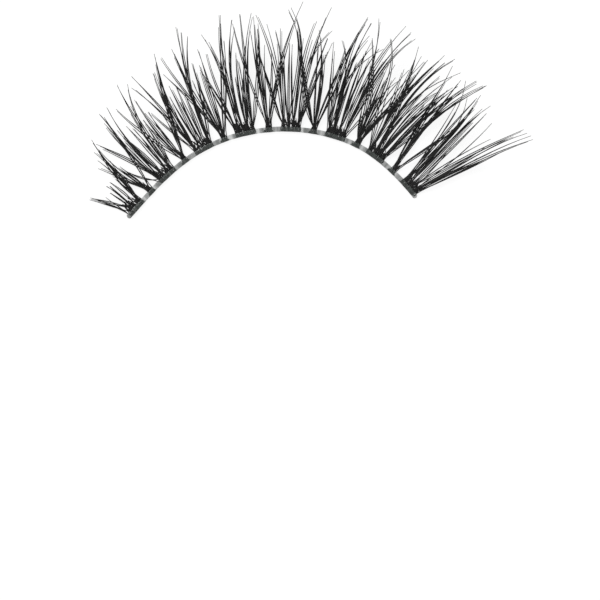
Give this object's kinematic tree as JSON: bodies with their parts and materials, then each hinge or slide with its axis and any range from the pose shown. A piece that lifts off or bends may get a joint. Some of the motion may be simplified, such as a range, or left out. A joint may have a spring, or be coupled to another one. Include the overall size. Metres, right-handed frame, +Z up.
{
  "type": "false eyelash strip",
  "caption": "Strip of black false lashes: dense tufts and lighter fans set in a thin clear curved band, longest towards the outer corner and curling up to fine tips.",
  "frame": {"origin": "middle of the band's flat underside at the top of its arch, on the surface that the strip lies on", "axes": "+X towards the outer corner of the eye, +Y out from the band along the lashes, +Z up, away from the surface"},
  "size_m": [0.0443, 0.0219, 0.0063],
  "materials": {
    "clear_plastic": "clear flexible plastic with a faint grey-green cast, softly glossy",
    "black_fibre": "fine black synthetic fibre with a faint silky sheen"
  },
  "bodies": {
    "root": {"clear_band": "clear_plastic", "lash_tuft_1": "black_fibre", "lash_tuft_2": "black_fibre", "lash_tuft_3": "black_fibre", "lash_tuft_4": "black_fibre", "lash_tuft_5": "black_fibre", "lash_tuft_6": "black_fibre", "lash_tuft_7": "black_fibre", "lash_tuft_8": "black_fibre", "lash_fan_1": "black_fibre", "lash_fan_2": "black_fibre", "lash_fan_3": "black_fibre", "lash_fan_4": "black_fibre", "lash_fan_5": "black_fibre", "lash_fan_6": "black_fibre", "lash_fan_7": "black_fibre"}
  },
  "joints": []
}
